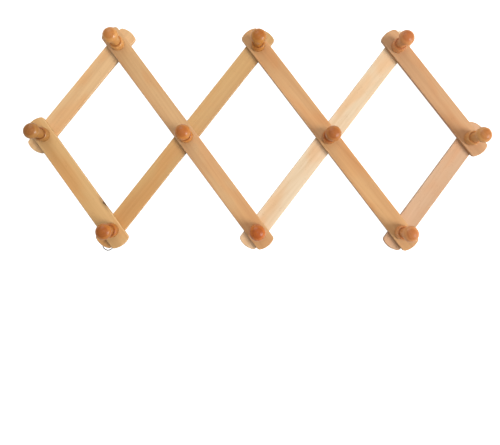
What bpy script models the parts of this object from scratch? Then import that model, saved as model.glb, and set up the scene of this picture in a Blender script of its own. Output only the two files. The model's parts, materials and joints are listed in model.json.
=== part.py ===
"""Expanding peg rack, lying on its back: eight flat slats in two layers, pivoting on ten turned pegs.

Metres, +Z up and towards the peg heads, X along the rack. Each peg's spigot is the pin of its pivot.
A screw in the end of the spigot, with a washer or the eye of a hanging loop, holds the pivot together.
"""

import math

import bmesh
import bpy
from mathutils import Matrix, Vector

# Lattice
PIVOT_SPACING = 0.140  # between neighbouring pivots on one slat
OPEN_ANGLE = math.radians(52.7)  # of the slats from the X axis
CENTRE_Y = 0.0017  # the hanging loop reaches further down than the slats reach up

# Slats
SLAT_WIDTH = 0.0234
SLAT_THICKNESS = 0.0054
END_REACH = 0.0218  # from the last pivot to the rounded end
CORNER_RADIUS = 0.0042
EDGE_ROUNDING = 0.0008
GAP = 0.00025  # running clearance between pieces that lie on each other
DRILL_LENGTH = 3 * SLAT_THICKNESS

# Screws, washers and hanging loops, which lie behind the slats
SCREW_RADIUS = 0.0013
SCREW_LENGTH = 0.0145
SCREW_HEAD_RADIUS = 0.0045
SCREW_HEAD_HEIGHT = 0.0018
SCREW_EDGE_HEIGHT = 0.6 * SCREW_HEAD_HEIGHT  # where the head's straight edge ends
SCREW_DOME = (0.86 * SCREW_HEAD_RADIUS, 0.2 * SCREW_HEAD_HEIGHT)
SCREW_FLAT_RADIUS = 0.66 * SCREW_HEAD_RADIUS
SCREW_POINT_LENGTH = 2 * SCREW_RADIUS
WASHER_RADIUS = 0.006
WASHER_HOLE_RADIUS = 0.0019
WASHER_THICKNESS = 0.001
WIRE_RADIUS = 0.00065
EYE_RADIUS = 0.0041  # to the middle of the wire
NECK_HALF_WIDTH = 0.00095
NECK_BEND_RADIUS = 0.0016
LOOP_RADIUS = 0.0063
LOOP_REACH = 0.0252
LEFT_LOOP_ANGLE = math.radians(251.0)

# Pegs
SPIGOT_RADIUS = 0.00325
SPIGOT_CLEARANCE = 0.0003
PILOT_RADIUS = 0.0016
PILOT_POINT_LENGTH = 2 * PILOT_RADIUS
COLLAR_RADIUS = 0.0085
COLLAR_SIDE_HEIGHT = 0.0088
COLLAR_HEIGHT = 0.0118
SHAFT_RADIUS = 0.0057
BALL_RADIUS = 0.0092
BALL_HALF_HEIGHT = 0.0071
PEG_HEIGHT = 0.0440

# Straight pieces that stand for each round
PEG_STEPS = 20
SMALL_STEPS = 14
BALL_STEPS = 7
SHOULDER_STEPS = 2
SLAT_CORNER_STEPS = 3
SLAT_END_STEPS = 4
EYE_STEPS = 5
NECK_STEPS = 3
LOOP_STEPS = 6

WELD_DISTANCE = 1e-6
TURNING_MERGE = 1e-5
BEVEL_ANGLE = math.radians(60)
SMOOTH_ANGLE = math.radians(35)

# Heights above the surface that the screw heads rest on
WASHER_BASE = SCREW_HEAD_HEIGHT + GAP
BACK_BASE = WASHER_BASE + WASHER_THICKNESS + GAP
FRONT_BASE = BACK_BASE + SLAT_THICKNESS + GAP
PEG_BASE = FRONT_BASE + SLAT_THICKNESS + GAP
WIRE_HEIGHT = WASHER_BASE + WASHER_THICKNESS / 2

HALF_HEIGHT = PIVOT_SPACING * math.sin(OPEN_ANGLE)
HALF_PITCH = PIVOT_SPACING * math.cos(OPEN_ANGLE)

COLOURS = {
    "front_slat_1": (0.62, 0.37, 0.14),
    "front_slat_2": (0.68, 0.42, 0.19),
    "front_slat_3": (0.68, 0.42, 0.20),
    "front_slat_4": (0.68, 0.40, 0.21),
    "back_slat_1": (0.73, 0.46, 0.22),
    "back_slat_2": (0.62, 0.35, 0.14),
    "back_slat_3": (0.82, 0.58, 0.36),
    "back_slat_4": (0.74, 0.46, 0.26),
    "peg": (0.50, 0.20, 0.07),
    "screw": (0.62, 0.60, 0.56),
    "washer": (0.66, 0.66, 0.64),
    "hanging_loop": (0.42, 0.41, 0.38),
}
LACQUERED_WOOD = {"roughness": 0.3, "metallic": 0.0}
STEEL = {"roughness": 0.35, "metallic": 1.0}


def clear_scene():
    for obj in list(bpy.data.objects):
        bpy.data.objects.remove(obj, do_unlink=True)


def new_collection(name):
    collection = bpy.data.collections.new(name)
    bpy.context.scene.collection.children.link(collection)
    return collection


def new_material(name, colour, roughness, metallic):
    material = bpy.data.materials.new(name)
    material.use_nodes = True
    shader = material.node_tree.nodes["Principled BSDF"]
    shader.inputs["Base Color"].default_value = (*colour, 1.0)
    shader.inputs["Roughness"].default_value = roughness
    shader.inputs["Metallic"].default_value = metallic
    material.diffuse_color = (*colour, 1.0)
    return material


def pivots():
    """The ten pivots in the open rack, by name: (x, y)."""
    places = {}
    for index in range(4):
        places[f"middle_{index + 1}"] = (2 * (index - 1.5) * HALF_PITCH, CENTRE_Y)
    for index in range(3):
        x = 2 * (index - 1) * HALF_PITCH
        places[f"top_{index + 1}"] = (x, CENTRE_Y + HALF_HEIGHT)
        places[f"bottom_{index + 1}"] = (x, CENTRE_Y - HALF_HEIGHT)
    return places


def arc(centre, radius, start, end, steps):
    """Points on an arc of the XY plane, both ends included."""
    angles = [start + (end - start) * step / steps for step in range(steps + 1)]
    return [
        Vector((centre[0] + radius * math.cos(a), centre[1] + radius * math.sin(a)))
        for a in angles
    ]


def slat_outline(last_pivot):
    """Outline of a slat that lies along X, with its first pivot at 0 and its last at last_pivot."""
    corner_y = SLAT_WIDTH / 2 - CORNER_RADIUS
    corner_x = math.sqrt((END_REACH - CORNER_RADIUS) ** 2 - corner_y**2)
    blend = math.atan2(corner_y, corner_x)
    right = math.pi / 2
    end = arc((corner_x, -corner_y), CORNER_RADIUS, -right, -blend, SLAT_CORNER_STEPS)[:-1]
    end += arc((0, 0), END_REACH, -blend, blend, SLAT_END_STEPS)
    end += arc((corner_x, corner_y), CORNER_RADIUS, blend, right, SLAT_CORNER_STEPS)[1:]
    outer = [Vector((last_pivot, 0)) + point for point in end]
    return outer + [-point for point in end]


def curve_object(name, splines, collection):
    """A curve object from (points, cyclic) pairs, as straight-sided splines."""
    data = bpy.data.curves.new(name, "CURVE")
    for points, cyclic in splines:
        spline = data.splines.new("POLY")
        spline.points.add(len(points) - 1)
        for target, point in zip(spline.points, points):
            target.co = (*point.to_3d(), 1.0)
        spline.use_cyclic_u = cyclic
    obj = bpy.data.objects.new(name, data)
    collection.objects.link(obj)
    return obj


def evaluated_mesh(obj, name):
    """The object's mesh with its modifiers applied, as new data."""
    bpy.context.view_layer.update()
    graph = bpy.context.evaluated_depsgraph_get()
    mesh = bpy.data.meshes.new_from_object(obj.evaluated_get(graph))
    mesh.name = name
    return mesh


def welded(mesh):
    shape = bmesh.new()
    shape.from_mesh(mesh)
    bmesh.ops.remove_doubles(shape, verts=shape.verts, dist=WELD_DISTANCE)
    bmesh.ops.recalc_face_normals(shape, faces=shape.faces)
    shape.to_mesh(mesh)
    shape.free()
    return mesh


def hole_cutter(name, places, cutters):
    """Round bars through the slat at each pivot along it."""
    shape = bmesh.new()
    radius = SPIGOT_RADIUS + SPIGOT_CLEARANCE
    for place in places:
        bmesh.ops.create_cone(
            shape,
            cap_ends=True,
            segments=PEG_STEPS,
            radius1=radius,
            radius2=radius,
            depth=DRILL_LENGTH,
            matrix=Matrix.Translation((place, 0, 0)),
        )
    mesh = bpy.data.meshes.new(name)
    shape.to_mesh(mesh)
    shape.free()
    cutter = bpy.data.objects.new(name, mesh)
    cutter.hide_render = True
    cutter.display_type = "WIRE"
    cutters.objects.link(cutter)
    return cutter


def slat_mesh(name, spans, cutters):
    """A slat along X with a pivot hole at 0 and after each span, centred on its own thickness."""
    holes = [span * PIVOT_SPACING for span in range(spans + 1)]
    outline = curve_object(name + "_outline", [(slat_outline(holes[-1]), True)], cutters)
    outline.data.dimensions = "2D"
    outline.data.fill_mode = "BOTH"
    outline.data.extrude = SLAT_THICKNESS / 2
    blank = bpy.data.objects.new(name, welded(evaluated_mesh(outline, name)))
    cutters.objects.link(blank)
    bpy.data.objects.remove(outline)

    rounding = blank.modifiers.new("eased_edges", "BEVEL")
    rounding.width = EDGE_ROUNDING
    rounding.segments = 1
    rounding.angle_limit = BEVEL_ANGLE
    drilling = blank.modifiers.new("pivot_holes", "BOOLEAN")
    drilling.object = hole_cutter(name + "_holes", holes, cutters)
    drilling.solver = "EXACT"
    mesh = evaluated_mesh(blank, name)
    bpy.data.objects.remove(blank)
    return mesh


def turned_mesh(name, profile, steps, cutters, closed=False):
    """A profile of (radius, height) points turned about Z. Points run down the outer side."""
    shape = bmesh.new()
    points = [shape.verts.new((radius, 0, height)) for radius, height in profile]
    pairs = list(zip(points, points[1:])) + ([(points[-1], points[0])] if closed else [])
    for pair in pairs:
        shape.edges.new(pair)
    mesh = bpy.data.meshes.new(name + "_profile")
    shape.to_mesh(mesh)
    shape.free()
    blank = bpy.data.objects.new(name, mesh)
    cutters.objects.link(blank)
    turning = blank.modifiers.new("turning", "SCREW")
    turning.steps = turning.render_steps = steps
    turning.use_merge_vertices = True
    turning.merge_threshold = TURNING_MERGE
    turned = evaluated_mesh(blank, name)
    bpy.data.objects.remove(blank)
    return turned


def peg_profile():
    """Ball head, straight waist, collar with a rounded shoulder, and the spigot with its pilot hole."""
    ball_centre = PEG_BASE + PEG_HEIGHT - BALL_HALF_HEIGHT
    meeting = math.asin(SHAFT_RADIUS / BALL_RADIUS)
    profile = []
    for step in range(BALL_STEPS + 1):
        angle = (math.pi - meeting) * step / BALL_STEPS
        radius = BALL_RADIUS * math.sin(angle)
        profile.append((radius, ball_centre + BALL_HALF_HEIGHT * math.cos(angle)))
    shoulder_run = COLLAR_RADIUS - SHAFT_RADIUS
    shoulder_rise = COLLAR_HEIGHT - COLLAR_SIDE_HEIGHT
    for step in range(SHOULDER_STEPS + 1):
        angle = math.pi / 2 * (1 - step / SHOULDER_STEPS)
        radius = SHAFT_RADIUS + shoulder_run * math.cos(angle)
        profile.append((radius, PEG_BASE + COLLAR_SIDE_HEIGHT + shoulder_rise * math.sin(angle)))
    profile += [
        (COLLAR_RADIUS, PEG_BASE + EDGE_ROUNDING),
        (COLLAR_RADIUS - EDGE_ROUNDING, PEG_BASE),
        (SPIGOT_RADIUS, PEG_BASE),
        (SPIGOT_RADIUS, BACK_BASE),
        (PILOT_RADIUS, BACK_BASE),
        (PILOT_RADIUS, SCREW_HEAD_HEIGHT + SCREW_LENGTH),
        (0, SCREW_HEAD_HEIGHT + SCREW_LENGTH + PILOT_POINT_LENGTH),
    ]
    return profile


def screw_profile():
    """Point, shank and low round head. The head's flat end is what the rack rests on."""
    tip = SCREW_HEAD_HEIGHT + SCREW_LENGTH
    return [
        (0, tip),
        (SCREW_RADIUS, tip - SCREW_POINT_LENGTH),
        (SCREW_RADIUS, SCREW_HEAD_HEIGHT),
        (SCREW_HEAD_RADIUS, SCREW_HEAD_HEIGHT),
        (SCREW_HEAD_RADIUS, SCREW_EDGE_HEIGHT),
        SCREW_DOME,
        (SCREW_FLAT_RADIUS, 0),
        (0, 0),
    ]


def washer_profile():
    top = WASHER_BASE + WASHER_THICKNESS
    return [
        (WASHER_HOLE_RADIUS, top),
        (WASHER_RADIUS, top),
        (WASHER_RADIUS, WASHER_BASE),
        (WASHER_HOLE_RADIUS, WASHER_BASE),
    ]


def loop_path():
    """Middle of the wire, with the eye about the origin and the loop towards +X."""
    bend_y = NECK_HALF_WIDTH + NECK_BEND_RADIUS
    bend_x = math.sqrt((EYE_RADIUS + NECK_BEND_RADIUS) ** 2 - bend_y**2)
    loop_x = LOOP_REACH - LOOP_RADIUS
    run = loop_x - bend_x
    spread = math.asin((NECK_BEND_RADIUS + LOOP_RADIUS) / math.hypot(run, bend_y))
    spread -= math.atan2(bend_y, run)
    opening = math.atan2(bend_y, bend_x)
    right = math.pi / 2
    upper = arc((0, 0), EYE_RADIUS, math.pi, opening, EYE_STEPS)
    bend = (math.pi + opening, 3 * right + spread)
    upper += arc((bend_x, bend_y), NECK_BEND_RADIUS, *bend, NECK_STEPS)[1:]
    upper += arc((loop_x, 0), LOOP_RADIUS, right + spread, 0, LOOP_STEPS)
    lower = [Vector((point.x, -point.y)) for point in reversed(upper[1:-1])]
    return upper + lower


def loop_mesh(name, cutters):
    wire = curve_object(name, [(loop_path(), True)], cutters)
    wire.data.dimensions = "3D"
    wire.data.bevel_depth = WIRE_RADIUS
    wire.data.bevel_resolution = 2
    mesh = welded(evaluated_mesh(wire, name))
    bpy.data.objects.remove(wire)
    return mesh


def place(name, mesh, collection, material, x, y, z=0.0, turn=0.0):
    obj = bpy.data.objects.new(name, mesh.copy())
    obj.data.name = name
    obj.location = (x, y, z)
    obj.rotation_euler = (0, 0, turn)
    obj.data.materials.clear()
    obj.data.materials.append(material)
    collection.objects.link(obj)
    return obj


def smooth(mesh):
    mesh.shade_smooth()
    mesh.set_sharp_from_angle(angle=SMOOTH_ANGLE)
    return mesh


def build():
    clear_scene()
    rack = new_collection("expanding_peg_rack")
    cutters = new_collection("cutters")
    places = pivots()

    # Front slats fall to the right and back slats rise to the right, in order along the rack.
    short_slat = slat_mesh("short_slat", 1, cutters)
    long_slat = slat_mesh("long_slat", 2, cutters)
    front_z = FRONT_BASE + SLAT_THICKNESS / 2
    back_z = BACK_BASE + SLAT_THICKNESS / 2
    front_starts = ("middle_1", "top_1", "top_2", "top_3")
    back_starts = ("middle_1", "bottom_1", "bottom_2", "bottom_3")
    slats = [("front", front_starts, front_z, -OPEN_ANGLE), ("back", back_starts, back_z, OPEN_ANGLE)]
    for layer, starts, z, turn in slats:
        for index, start in enumerate(starts):
            name = f"{layer}_slat_{index + 1}"
            mesh = long_slat if index in (1, 2) else short_slat
            wood = new_material(name, COLOURS[name], **LACQUERED_WOOD)
            place(name, mesh, rack, wood, *places[start], z, turn)

    peg = smooth(turned_mesh("peg", peg_profile(), PEG_STEPS, cutters))
    screw = smooth(turned_mesh("screw", screw_profile(), SMALL_STEPS, cutters))
    washer = turned_mesh("washer", washer_profile(), SMALL_STEPS, cutters, closed=True)
    loop = smooth(loop_mesh("hanging_loop", cutters))
    loops = {
        "bottom_1": ("hanging_loop_left", LEFT_LOOP_ANGLE),
        "bottom_3": ("hanging_loop_right", OPEN_ANGLE),
    }
    peg_wood = new_material("peg", COLOURS["peg"], **LACQUERED_WOOD)
    screw_steel = new_material("screw", COLOURS["screw"], **STEEL)
    washer_steel = new_material("washer", COLOURS["washer"], **STEEL)
    wire_steel = new_material("hanging_loop", COLOURS["hanging_loop"], **STEEL)
    for pivot, (x, y) in places.items():
        place("peg_" + pivot, peg, rack, peg_wood, x, y)
        place("screw_" + pivot, screw, rack, screw_steel, x, y)
        if pivot in loops:
            name, turn = loops[pivot]
            place(name, loop, rack, wire_steel, x, y, WIRE_HEIGHT, turn)
        else:
            place("washer_" + pivot, washer, rack, washer_steel, x, y)


build()
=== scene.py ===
import json
import math

import bpy
from mathutils import Matrix, Vector


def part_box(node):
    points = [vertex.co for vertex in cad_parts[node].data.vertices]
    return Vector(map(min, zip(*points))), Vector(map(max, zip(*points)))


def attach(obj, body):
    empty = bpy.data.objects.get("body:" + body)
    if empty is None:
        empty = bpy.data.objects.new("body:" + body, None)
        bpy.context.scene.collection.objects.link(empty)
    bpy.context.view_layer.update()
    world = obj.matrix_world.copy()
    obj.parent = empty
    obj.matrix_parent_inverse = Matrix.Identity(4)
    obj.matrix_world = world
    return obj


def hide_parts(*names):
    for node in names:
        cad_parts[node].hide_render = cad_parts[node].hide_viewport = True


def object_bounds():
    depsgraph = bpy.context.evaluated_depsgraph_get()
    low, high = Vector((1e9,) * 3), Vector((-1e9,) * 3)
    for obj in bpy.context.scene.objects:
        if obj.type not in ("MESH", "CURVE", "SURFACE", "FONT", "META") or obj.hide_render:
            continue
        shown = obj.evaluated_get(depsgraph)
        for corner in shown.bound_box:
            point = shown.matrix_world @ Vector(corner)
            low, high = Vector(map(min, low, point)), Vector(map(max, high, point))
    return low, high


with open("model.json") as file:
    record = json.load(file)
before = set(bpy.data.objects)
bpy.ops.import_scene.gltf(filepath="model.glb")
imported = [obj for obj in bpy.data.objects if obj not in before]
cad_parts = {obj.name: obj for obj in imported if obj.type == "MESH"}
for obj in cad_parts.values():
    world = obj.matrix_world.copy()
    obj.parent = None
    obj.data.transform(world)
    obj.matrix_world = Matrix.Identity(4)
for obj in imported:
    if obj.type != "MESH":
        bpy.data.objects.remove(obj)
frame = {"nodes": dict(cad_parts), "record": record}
cadLow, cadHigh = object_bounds()


# places, sizes and bodies, as the frame gives them

def boxOf(node):
    low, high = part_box(node)
    return low, high, (low + high) / 2


pivotNames = [name[len("peg_"):] for name in frame["nodes"] if name.startswith("peg_")]
pivotNames.sort()
pivotPlaces = {name: boxOf("peg_" + name)[2] for name in pivotNames}
pivotSpacing = (pivotPlaces["middle_2"].xy - pivotPlaces["top_1"].xy).length
bodyOfNode = {}
for body, nodes in frame["record"]["behaviour"]["bodies"].items():
    for node in nodes:
        bodyOfNode[node] = body

# the first and last pivot on each slat
slatRuns = {
    "front_slat_1": ("middle_1", "bottom_1"),
    "front_slat_2": ("top_1", "bottom_2"),
    "front_slat_3": ("top_2", "bottom_3"),
    "front_slat_4": ("top_3", "middle_4"),
    "back_slat_1": ("middle_1", "top_1"),
    "back_slat_2": ("bottom_1", "top_2"),
    "back_slat_3": ("bottom_2", "top_3"),
    "back_slat_4": ("bottom_3", "middle_4"),
}


def slatHeading(node):
    first, last = (pivotPlaces[name].xy for name in slatRuns[node])
    return math.atan2(last.y - first.y, last.x - first.x)


# modelling helpers

mergeDistance = 1e-6
sameLevel = 1e-6  # how near a point is to a height or a middle line to be on it
sameSpot = 1e-7


def deselectAll():
    if bpy.context.object and bpy.context.object.mode != "OBJECT":
        bpy.ops.object.mode_set(mode="OBJECT")
    bpy.ops.object.select_all(action="DESELECT")


def makeActive(piece):
    deselectAll()
    piece.select_set(True)
    bpy.context.view_layer.objects.active = piece


def editAll(piece):
    makeActive(piece)
    bpy.ops.object.mode_set(mode="EDIT")
    bpy.ops.mesh.select_mode(type="VERT")
    bpy.ops.mesh.select_all(action="SELECT")


def editWhere(piece, parts, test):
    # selects the vertices, edges or faces whose middle passes the test
    makeActive(piece)
    mesh = piece.data
    bpy.ops.object.mode_set(mode="EDIT")
    bpy.ops.mesh.select_mode(type=parts)
    bpy.ops.mesh.select_all(action="DESELECT")
    bpy.ops.object.mode_set(mode="OBJECT")
    if parts == "VERT":
        for vertex in mesh.vertices:
            vertex.select = test(vertex.co)
    elif parts == "EDGE":
        for edge in mesh.edges:
            first, second = (mesh.vertices[index].co for index in edge.vertices)
            edge.select = test((first + second) / 2)
    else:
        for face in mesh.polygons:
            face.select = test(face.center)
    bpy.ops.object.mode_set(mode="EDIT")


def objectMode():
    bpy.ops.object.mode_set(mode="OBJECT")


def nudge(step):
    bpy.ops.mesh.extrude_region_move(TRANSFORM_OT_translate={"value": tuple(step)})


def closeUp(piece):
    # merges what meets and turns the faces outwards
    editAll(piece)
    bpy.ops.mesh.remove_doubles(threshold=mergeDistance)
    bpy.ops.mesh.normals_make_consistent(inside=False)
    objectMode()


def applyModifier(piece, kind, **settings):
    makeActive(piece)
    modifier = piece.modifiers.new(kind.lower(), kind)
    for key, value in settings.items():
        setattr(modifier, key, value)
    bpy.ops.object.modifier_apply(modifier=modifier.name)


def applyPlace(piece):
    makeActive(piece)
    bpy.ops.object.transform_apply(location=True, rotation=True, scale=True)


def smoothBy(piece, degrees):
    makeActive(piece)
    bpy.ops.object.shade_smooth_by_angle(angle=math.radians(degrees))


def discard(piece):
    bpy.data.objects.remove(piece, do_unlink=True)


def startPoint(name, place):
    # a plane merged to one vertex, the seed of a profile drawn point by point
    deselectAll()
    bpy.ops.mesh.primitive_plane_add(size=0.001, location=tuple(place))
    piece = bpy.context.object
    piece.name = piece.data.name = name
    applyPlace(piece)
    editAll(piece)
    bpy.ops.mesh.merge(type="CENTER")
    return piece


def drawLine(name, points):
    piece = startPoint(name, points[0])
    for before, after in zip(points, points[1:]):
        nudge(after - before)
    return piece


def turn(name, profile, steps, closed=False):
    # draws a profile of (radius, height) points and spins it about Z
    points = [Vector((radius, 0, height)) for radius, height in profile]
    piece = drawLine(name, points)
    if closed:
        objectMode()
        ends = (points[0], points[-1])
        editWhere(piece, "VERT", lambda co: min((co - end).length for end in ends) < sameSpot)
        bpy.ops.mesh.edge_face_add()
    bpy.ops.mesh.select_all(action="SELECT")
    bpy.ops.mesh.spin(steps=steps, angle=2 * math.pi, center=(0, 0, 0), axis=(0, 0, 1))
    closeUp(piece)
    return piece


def drawWire(name, path, thickness, roundness, swell=None):
    # a line drawn point by point, given a round section, then made a mesh
    drawLine(name, [Vector(point) for point in path])
    objectMode()
    bpy.ops.object.convert(target="CURVE")
    curve = bpy.context.object.data
    curve.bevel_depth = thickness
    curve.bevel_resolution = roundness
    curve.use_fill_caps = True
    if swell:
        for point in curve.splines[0].points:
            point.radius = swell(point.co.z)
    bpy.ops.object.convert(target="MESH")
    piece = bpy.context.object
    closeUp(piece)
    return piece


def arcPoints(centre, radius, start, end, steps, flatten=1.0):
    # both ends included, angles in degrees from the first axis towards the second
    points = []
    for step in range(steps + 1):
        angle = math.radians(start + (end - start) * step / steps)
        across = centre[0] + radius * math.cos(angle)
        up = centre[1] + flatten * radius * math.sin(angle)
        points.append((across, up))
    return points


def copyTo(source, name, place, turnBy):
    # a copy with its own mesh, its place worked into the mesh
    makeActive(source)
    bpy.ops.object.duplicate(linked=False)
    piece = bpy.context.object
    piece.name = piece.data.name = name
    piece.matrix_world = Matrix.Translation(place) @ Matrix.Rotation(turnBy, 4, "Z")
    applyPlace(piece)
    return piece


def fitOut(piece, node, material):
    piece.data.materials.clear()
    piece.data.materials.append(material)
    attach(piece, bodyOfNode[node])
    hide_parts(node)


# node helpers

def feed(tree, socket, value):
    if isinstance(value, bpy.types.NodeSocket):
        tree.links.new(value, socket)
    else:
        socket.default_value = value


def addNode(tree, kind, settings, values):
    # values fill the sockets in order, or by label when they are a dictionary
    node = tree.nodes.new("ShaderNode" + kind)
    for key, setting in settings.items():
        setattr(node, key, setting)
    if isinstance(values, dict):
        for label, value in values.items():
            feed(tree, node.inputs[label], value)
    else:
        for socket, value in zip(node.inputs, values):
            feed(tree, socket, value)
    return node


def calc(tree, operation, *values, clamp=False):
    return addNode(tree, "Math", {"operation": operation, "use_clamp": clamp}, values).outputs[0]


def vectorCalc(tree, operation, *values):
    node = addNode(tree, "VectorMath", {"operation": operation}, values)
    return node.outputs["Value" if operation == "LENGTH" else "Vector"]


def scaledBy(tree, vector, factor):
    values = {"Vector": vector, "Scale": factor}
    return addNode(tree, "VectorMath", {"operation": "SCALE"}, values).outputs["Vector"]


def axes(tree, vector):
    return addNode(tree, "SeparateXYZ", {}, [vector]).outputs


def fromAxes(tree, x, y, z):
    return addNode(tree, "CombineXYZ", {}, [x, y, z]).outputs[0]


def ease(tree, value, low, high, outLow=0.0, outHigh=1.0):
    settings = {"interpolation_type": "SMOOTHSTEP"}
    return addNode(tree, "MapRange", settings, [value, low, high, outLow, outHigh]).outputs[0]


def noise(tree, vector, scale=1.0, detail=2.0, roughness=0.5, distortion=0.0):
    values = {
        "Vector": vector, "Scale": scale, "Detail": detail,
        "Roughness": roughness, "Distortion": distortion,
    }
    return addNode(tree, "TexNoise", {}, values).outputs["Fac"]


def cells(tree, vector, scale=1.0):
    return addNode(tree, "TexVoronoi", {}, {"Vector": vector, "Scale": scale}).outputs


def mixColour(tree, factor, first, second, blend="MIX"):
    settings = {"data_type": "RGBA", "blend_type": blend, "clamp_factor": True}
    node = addNode(tree, "Mix", settings, {"Factor": factor})
    feed(tree, node.inputs[6], first)  # the colour pair; other kinds share its labels
    feed(tree, node.inputs[7], second)
    return node.outputs[2]


def newGroup(name, inputs, outputs):
    # an input's kind follows its first value; an output is a number unless it's the colour
    tree = bpy.data.node_groups.new(name, "ShaderNodeTree")
    kinds = {3: "NodeSocketVector", 4: "NodeSocketColor"}
    for label, value in inputs.items():
        kind = kinds[len(value)] if isinstance(value, tuple) else "NodeSocketFloat"
        socket = tree.interface.new_socket(label, in_out="INPUT", socket_type=kind)
        socket.default_value = value
    for label in outputs:
        kind = "NodeSocketColor" if label == "Colour" else "NodeSocketFloat"
        tree.interface.new_socket(label, in_out="OUTPUT", socket_type=kind)
    return tree, tree.nodes.new("NodeGroupInput").outputs, tree.nodes.new("NodeGroupOutput").inputs


def useGroup(tree, group, values):
    return addNode(tree, "Group", {"node_tree": group}, values).outputs


# shared effects

grainFigure = {
    # a scale is repeats per metre, along the grain and across it
    "seedShift": (7.31, 3.17, 5.53),
    "driftScale": (7, 38),
    "driftGain": 2.4,
    "unevenScale": 0.45,
    "unevenGain": 2.2,
    "lateWoodRise": (0.05, 0.86),  # shares of one ring
    "lateWoodFall": (1.0, 0.88),
    "yearScale": 0.71,
    "yearRow": 4.0,
    "yearEdges": (0.3, 0.7),
    "palestYear": 0.25,
    "bandScale": (2.6, 80),
    "bandRoughness": 0.55,
    "bandEdges": (0.3, 0.72),
    "blushScale": (17, 42),
    "blushTwist": 0.4,
    "blushEdges": (0.42, 0.68),
    "fibreScale": (14, 900),
    "fibreRoughness": 0.62,
    "fibreEdges": (0.3, 0.72),
    "fleckScale": (330, 1750),
    "thinningScale": (60, 150),
    "thinningEdges": (0.42, 0.66),
    "fleckSize": (0.06, 0.36),
    "fleckSoftness": 0.09,
    "fleckShareLeftOut": 0.38,
    "endFacing": (0.72, 0.90),
    "poreScale": (420, 5200),
    "poreRoughness": 0.6,
    "poreHeight": 0.45,
    "fibreHeight": 0.35,
    "fleckHeight": -0.5,
}


def buildGrainGroup():
    # figure of a board or dowel whose grain runs along X; lengths in metres
    figure = grainFigure
    tree, given, result = newGroup(
        "straightGrain",
        {
            "Vector": (0, 0, 0), "Normal": (0, 0, 1), "Seed": 0.0, "Pith Across": 0.03,
            "Pith Depth": -0.02, "Pith Tilt": 0.05, "Ring Pitch": 0.0026, "Wander": 0.002,
            "Blush Drift": 0.0,
        },
        ["Rings", "Bands", "Blush", "Fibres", "Flecks", "End Grain", "Height"],
    )
    shift = scaledBy(tree, figure["seedShift"], given["Seed"])
    along, across, deep = axes(tree, given["Vector"])

    def stretched(scale):
        lengthwise, crosswise = scale
        scaled = vectorCalc(tree, "MULTIPLY", given["Vector"], (lengthwise, crosswise, crosswise))
        return vectorCalc(tree, "ADD", scaled, shift)

    # growth rings round a pith that leans out of the board, so they run out in long arches
    drift = calc(tree, "SUBTRACT", noise(tree, stretched(figure["driftScale"])), 0.5)
    gain = calc(tree, "MULTIPLY", given["Wander"], figure["driftGain"])
    drift = calc(tree, "MULTIPLY", drift, gain)
    depth = calc(tree, "SUBTRACT", deep, given["Pith Depth"])
    depth = calc(tree, "MULTIPLY_ADD", along, given["Pith Tilt"], depth)
    fromPith = fromAxes(tree, 0.0, calc(tree, "SUBTRACT", across, given["Pith Across"]), depth)
    radius = calc(tree, "ADD", vectorCalc(tree, "LENGTH", fromPith), drift)
    count = calc(tree, "DIVIDE", radius, given["Ring Pitch"])
    slowCount = calc(tree, "MULTIPLY", count, figure["unevenScale"])
    uneven = noise(tree, fromAxes(tree, slowCount, given["Seed"], 0.0), detail=1)
    count = calc(tree, "MULTIPLY_ADD", uneven, figure["unevenGain"], count)
    ring = calc(tree, "FRACT", count)
    rise = ease(tree, ring, *figure["lateWoodRise"])
    late = calc(tree, "MULTIPLY", rise, ease(tree, ring, *figure["lateWoodFall"]))
    year = calc(tree, "MULTIPLY", calc(tree, "FLOOR", count), figure["yearScale"])
    year = noise(tree, fromAxes(tree, year, given["Seed"], figure["yearRow"]), detail=1)
    year = ease(tree, year, *figure["yearEdges"], figure["palestYear"], 1.0)
    tree.links.new(calc(tree, "MULTIPLY", late, year), result["Rings"])

    bands = noise(tree, stretched(figure["bandScale"]), 1, 3, figure["bandRoughness"])
    tree.links.new(ease(tree, bands, *figure["bandEdges"]), result["Bands"])
    blush = noise(tree, stretched(figure["blushScale"]), distortion=figure["blushTwist"])
    blush = calc(tree, "MULTIPLY_ADD", along, given["Blush Drift"], blush)
    tree.links.new(ease(tree, blush, *figure["blushEdges"]), result["Blush"])
    fibres = noise(tree, stretched(figure["fibreScale"]), 1, 4, figure["fibreRoughness"])
    fibres = ease(tree, fibres, *figure["fibreEdges"])
    tree.links.new(fibres, result["Fibres"])

    # short brown ray flecks, thinned out by a slow mask and kept off the end grain
    spots = cells(tree, stretched(figure["fleckScale"]))
    thinning = noise(tree, stretched(figure["thinningScale"]))
    size = ease(tree, thinning, *figure["thinningEdges"], *figure["fleckSize"])
    inside = calc(tree, "SUBTRACT", size, spots["Distance"])
    flecks = ease(tree, inside, 0.0, figure["fleckSoftness"])
    lot = axes(tree, spots["Color"])[0]
    chosen = calc(tree, "GREATER_THAN", lot, figure["fleckShareLeftOut"])
    flecks = calc(tree, "MULTIPLY", flecks, chosen)
    facing = calc(tree, "ABSOLUTE", axes(tree, given["Normal"])[0])
    endGrainAndCapReflection = ease(tree, facing, *figure["endFacing"])
    tree.links.new(endGrainAndCapReflection, result["End Grain"])
    flecks = calc(tree, "MULTIPLY", flecks, calc(tree, "SUBTRACT", 1.0, endGrainAndCapReflection))
    tree.links.new(flecks, result["Flecks"])

    pores = noise(tree, stretched(figure["poreScale"]), roughness=figure["poreRoughness"])
    height = calc(tree, "MULTIPLY", pores, figure["poreHeight"])
    height = calc(tree, "MULTIPLY_ADD", fibres, figure["fibreHeight"], height)
    height = calc(tree, "MULTIPLY_ADD", flecks, figure["fleckHeight"], height)
    tree.links.new(height, result["Height"])
    return tree


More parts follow.
